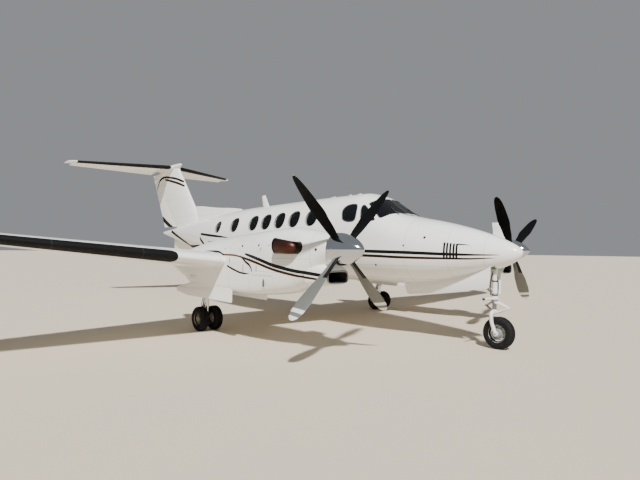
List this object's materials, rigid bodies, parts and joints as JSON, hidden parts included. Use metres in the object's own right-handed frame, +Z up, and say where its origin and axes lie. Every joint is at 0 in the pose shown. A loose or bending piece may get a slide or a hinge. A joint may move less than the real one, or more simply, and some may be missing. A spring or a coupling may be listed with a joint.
{
  "type": "turboprop business plane",
  "caption": "Low-wing T-tail business plane with wing-mounted turboprops, a hollow cabin with seats and airstair door, moving control surfaces, feathered propellers and wheeled gear.",
  "frame": {"origin": "on the floor under the centre of the part's box", "axes": "+X towards the nose, +Y towards the plane's left wing tip, +Z up"},
  "size_m": [13.88, 17.6496, 4.37],
  "materials": {
    "airframe_paint": "gloss",
    "radome": "gloss",
    "engine_metal": "matte",
    "propeller_metal": "satin",
    "glass": "gloss",
    "window_lining": "gloss",
    "carpet_floor": "matte",
    "instrument_panel": "matte",
    "pilot_leather": "matte",
    "cabin_fabric": "matte",
    "tyre": "matte",
    "gear_steel": "satin",
    "gear_paint": "gloss"
  },
  "bodies": {
    "airframe": {"radome": "radome", "nose_fuselage": "airframe_paint", "cockpit_fuselage": "airframe_paint", "cabin_fuselage": "airframe_paint", "tail_fuselage": "airframe_paint", "cockpit_glass_left": "glass", "cabin_windows_left": "window_lining", "cockpit_glass_right": "glass", "cabin_windows_right": "window_lining", "aft_window_left": "glass", "cabin_floor": "carpet_floor", "instrument_panel": "instrument_panel", "pilot_seat_left": "pilot_leather", "cabin_seats_left": "cabin_fabric", "pilot_seat_right": "pilot_leather", "cabin_seats_right": "cabin_fabric", "wing_centre": "airframe_paint", "wing_left": "airframe_paint", "wing_right": "airframe_paint", "cowl_left": "airframe_paint", "nacelle_left": "airframe_paint", "engine_left": "engine_metal", "gear_door_left_outer": "airframe_paint", "gear_door_left_inner": "airframe_paint", "cowl_right": "airframe_paint", "nacelle_right": "airframe_paint", "engine_right": "engine_metal", "gear_door_right_outer": "airframe_paint", "gear_door_right_inner": "airframe_paint", "fin": "airframe_paint", "tailplane": "airframe_paint", "main_leg_left": "gear_steel", "main_leg_right": "gear_steel", "nose_leg": "gear_steel", "nose_gear_door_left": "airframe_paint", "nose_gear_door_right": "airframe_paint"},
    "left_airstair_door": {"airstair_door": "airframe_paint", "door_window": "glass"},
    "rudder_body": {"rudder": "airframe_paint"},
    "nose_steering": {"nose_fork": "gear_paint"},
    "nose_wheel_body": {"nose_wheel": "tyre"},
    "flap_inboard_left_body": {"flap_inboard_left": "airframe_paint"},
    "flap_outboard_left_body": {"flap_outboard_left": "airframe_paint"},
    "aileron_left_body": {"aileron_left": "airframe_paint"},
    "elevator_left_body": {"elevator_left": "airframe_paint"},
    "propeller_left_body": {"propeller_left": "propeller_metal"},
    "main_wheels_left": {"main_wheel_left_outer": "tyre", "main_wheel_left_inner": "tyre"},
    "flap_inboard_right_body": {"flap_inboard_right": "airframe_paint"},
    "flap_outboard_right_body": {"flap_outboard_right": "airframe_paint"},
    "aileron_right_body": {"aileron_right": "airframe_paint"},
    "elevator_right_body": {"elevator_right": "airframe_paint"},
    "propeller_right_body": {"propeller_right": "propeller_metal"},
    "main_wheels_right": {"main_wheel_right_outer": "tyre", "main_wheel_right_inner": "tyre"}
  },
  "joints": [
    {"name": "propeller_left_spin", "type": "hinge", "parent": "airframe", "child": "propeller_left_body", "pos_m": [5.46, 2.617, 1.65], "axis": [1, 0, 0], "continuous": true},
    {"name": "main_wheels_left_spin", "type": "hinge", "parent": "airframe", "child": "main_wheels_left", "pos_m": [1.607, 2.617, 0.242], "axis": [0, 1, 0], "continuous": true},
    {"name": "propeller_right_spin", "type": "hinge", "parent": "airframe", "child": "propeller_right_body", "pos_m": [5.46, -2.617, 1.65], "axis": [1, 0, 0], "continuous": true},
    {"name": "main_wheels_right_spin", "type": "hinge", "parent": "airframe", "child": "main_wheels_right", "pos_m": [1.607, -2.617, 0.242], "axis": [0, 1, 0], "continuous": true},
    {"name": "nose_steer", "type": "hinge", "parent": "airframe", "child": "nose_steering", "pos_m": [6.46, 0, 0.7], "axis": [0, 0, 1], "range_deg": [-48, 48]},
    {"name": "nose_wheel_spin", "type": "hinge", "parent": "nose_steering", "child": "nose_wheel_body", "pos_m": [6.55, 0, 0.272], "axis": [0, 1, 0], "continuous": true},
    {"name": "airstair_door_hinge", "type": "hinge", "parent": "airframe", "child": "left_airstair_door", "pos_m": [-0.36, 0.726, 1.322], "axis": [-1, 0, 0], "range_deg": [0, 128]},
    {"name": "flap_inboard_left_hinge", "type": "hinge", "parent": "airframe", "child": "flap_inboard_left_body", "pos_m": [1.18531, 0.94817, 1.04498], "axis": [-0.0168, -0.9952, -0.0963], "range_deg": [0, 35]},
    {"name": "flap_inboard_right_hinge", "type": "hinge", "parent": "airframe", "child": "flap_inboard_right_body", "pos_m": [1.18531, -0.94817, 1.04498], "axis": [0.0168, -0.9952, 0.0963], "range_deg": [0, 35]},
    {"name": "flap_outboard_left_hinge", "type": "hinge", "parent": "airframe", "child": "flap_outboard_left_body", "pos_m": [1.22977, 3.18383, 1.26143], "axis": [-0.1218, -0.9877, -0.098], "range_deg": [0, 35]},
    {"name": "flap_outboard_right_hinge", "type": "hinge", "parent": "airframe", "child": "flap_outboard_right_body", "pos_m": [1.22977, -3.18383, 1.26143], "axis": [0.1218, -0.9877, 0.098], "range_deg": [0, 35]},
    {"name": "aileron_left_hinge", "type": "hinge", "parent": "airframe", "child": "aileron_left_body", "pos_m": [1.5925, 5.7, 1.692], "axis": [0.1218, 0.9877, 0.098], "range_deg": [-20, 22]},
    {"name": "aileron_right_hinge", "type": "hinge", "parent": "airframe", "child": "aileron_right_body", "pos_m": [1.5925, -5.7, 1.692], "axis": [-0.1218, 0.9877, -0.098], "range_deg": [-22, 20]},
    {"name": "elevator_left_hinge", "type": "hinge", "parent": "airframe", "child": "elevator_left_body", "pos_m": [-6.0109, 0.15, 4.267], "axis": [-0.2571, 0.9664, 0], "range_deg": [0, 34]},
    {"name": "elevator_right_hinge", "type": "hinge", "parent": "airframe", "child": "elevator_right_body", "pos_m": [-6.0109, -0.15, 4.267], "axis": [0.2571, 0.9664, 0], "range_deg": [0, 34]},
    {"name": "rudder_hinge", "type": "hinge", "parent": "airframe", "child": "rudder_body", "pos_m": [-4.83861, 0, 2.31], "axis": [-0.5789, 0, 0.8154], "range_deg": [-25, 25]}
  ],
  "couplings": [
    {"joint": "flap_inboard_right_hinge", "follows": "flap_inboard_left_hinge", "ratio": 1},
    {"joint": "flap_outboard_left_hinge", "follows": "flap_inboard_left_hinge", "ratio": 1},
    {"joint": "flap_outboard_right_hinge", "follows": "flap_inboard_left_hinge", "ratio": 1},
    {"joint": "aileron_right_hinge", "follows": "aileron_left_hinge", "ratio": -1},
    {"joint": "elevator_right_hinge", "follows": "elevator_left_hinge", "ratio": 1}
  ]
}
